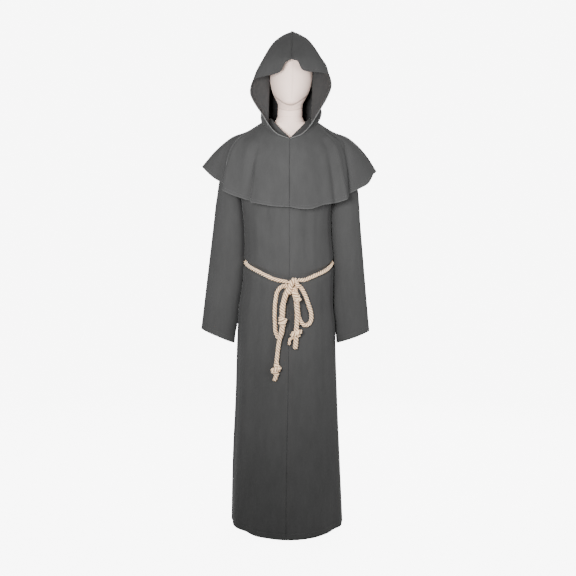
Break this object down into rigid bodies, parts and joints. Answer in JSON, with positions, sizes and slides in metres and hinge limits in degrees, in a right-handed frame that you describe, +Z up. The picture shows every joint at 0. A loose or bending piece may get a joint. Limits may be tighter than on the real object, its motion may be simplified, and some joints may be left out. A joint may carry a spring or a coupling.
{
  "type": "monk robe costume on a limbless dress form",
  "caption": "Monk's costume: full-length plain robe with straight sleeves, hooded shoulder cape and rope belt tied in a bow, set on a limbless dress form with a round foot.",
  "frame": {"origin": "middle of the underside of the stand's round foot, on the floor", "axes": "+Z up, -Y out of the costume's front, +X towards the wearer's left"},
  "size_m": [0.6118, 0.3981, 1.7464],
  "materials": {
    "grey_felt": "matte brushed polyester, dark grey",
    "cotton_rope": "three-strand twisted cotton, cream",
    "form_cover": "smooth stretched jersey, off-white",
    "stand_steel": "satin dark grey paint"
  },
  "bodies": {
    "root": {"cape_left": "grey_felt", "cape_right": "grey_felt", "hood_left": "grey_felt", "hood_right": "grey_felt", "robe_back": "grey_felt", "robe_front_left": "grey_felt", "robe_front_right": "grey_felt", "sleeve_left_above_elbow": "grey_felt", "sleeve_left_below_elbow": "grey_felt", "sleeve_right_above_elbow": "grey_felt", "sleeve_right_below_elbow": "grey_felt", "bow_knot": "cotton_rope", "knot_left_end": "cotton_rope", "knot_left_middle": "cotton_rope", "knot_right_end": "cotton_rope", "knot_right_middle": "cotton_rope", "rope_end_left_lower": "cotton_rope", "rope_end_left_upper": "cotton_rope", "rope_end_right_lower": "cotton_rope", "rope_end_right_upper": "cotton_rope", "rope_loop_left": "cotton_rope", "rope_loop_right": "cotton_rope", "rope_waist": "cotton_rope", "tail_left": "cotton_rope", "tail_left_side": "cotton_rope", "tail_right": "cotton_rope", "form_head": "form_cover", "form_torso": "form_cover", "stand_foot": "stand_steel", "stand_pole": "stand_steel"}
  },
  "joints": []
}
